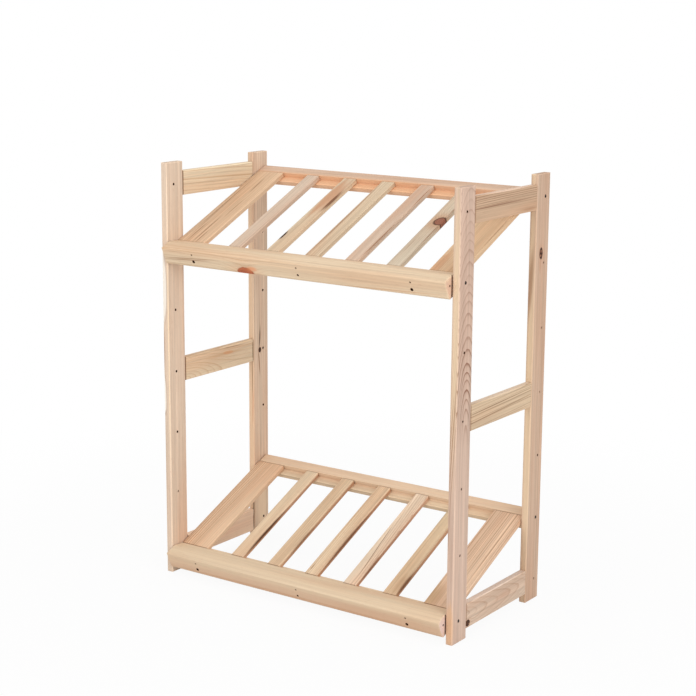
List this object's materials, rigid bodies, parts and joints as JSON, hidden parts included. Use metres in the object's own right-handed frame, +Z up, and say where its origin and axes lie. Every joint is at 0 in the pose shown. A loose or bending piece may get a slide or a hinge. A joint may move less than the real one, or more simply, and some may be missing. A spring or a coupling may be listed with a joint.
{
  "type": "beverage crate rack",
  "caption": "Pine drinks crate rack: two ladder-like side frames carry slatted shelves pitched to the front, each with a raised nose rail as a stop.",
  "frame": {"origin": "on the floor, in the middle of the whole outline, the protruding nose rails included", "axes": "+X to the right seen from the front, +Y from the front to the rear, +Z up"},
  "size_m": [0.696, 0.3458, 0.85],
  "materials": {
    "post_pine": "planed, untreated",
    "frame_rail_pine": "planed, untreated",
    "shelf_rail_pine": "planed, untreated",
    "slat_pine": "planed, untreated",
    "dowel_beech": "turned, untreated",
    "screw_steel": "blackened",
    "pin_steel": "bright"
  },
  "bodies": {
    "root": {"left_front_post": "post_pine", "left_rear_post": "post_pine", "left_bottom_rail": "frame_rail_pine", "left_middle_rail": "frame_rail_pine", "left_top_rail": "frame_rail_pine", "right_front_post": "post_pine", "right_rear_post": "post_pine", "right_bottom_rail": "frame_rail_pine", "right_middle_rail": "frame_rail_pine", "right_top_rail": "frame_rail_pine", "left_frame_dowels": "dowel_beech", "right_frame_dowels": "dowel_beech", "lower_nose_rail": "shelf_rail_pine", "lower_rear_rail": "shelf_rail_pine", "lower_left_board": "slat_pine", "lower_right_board": "slat_pine", "lower_slat_1": "slat_pine", "lower_slat_2": "slat_pine", "lower_slat_3": "slat_pine", "lower_slat_4": "slat_pine", "lower_slat_5": "slat_pine", "upper_nose_rail": "shelf_rail_pine", "upper_rear_rail": "shelf_rail_pine", "upper_left_board": "slat_pine", "upper_right_board": "slat_pine", "upper_slat_1": "slat_pine", "upper_slat_2": "slat_pine", "upper_slat_3": "slat_pine", "upper_slat_4": "slat_pine", "upper_slat_5": "slat_pine", "lower_shelf_screws": "screw_steel", "upper_shelf_screws": "screw_steel", "lower_front_pins": "pin_steel", "lower_rear_pins": "pin_steel", "upper_front_pins": "pin_steel", "upper_rear_pins": "pin_steel"}
  },
  "joints": []
}
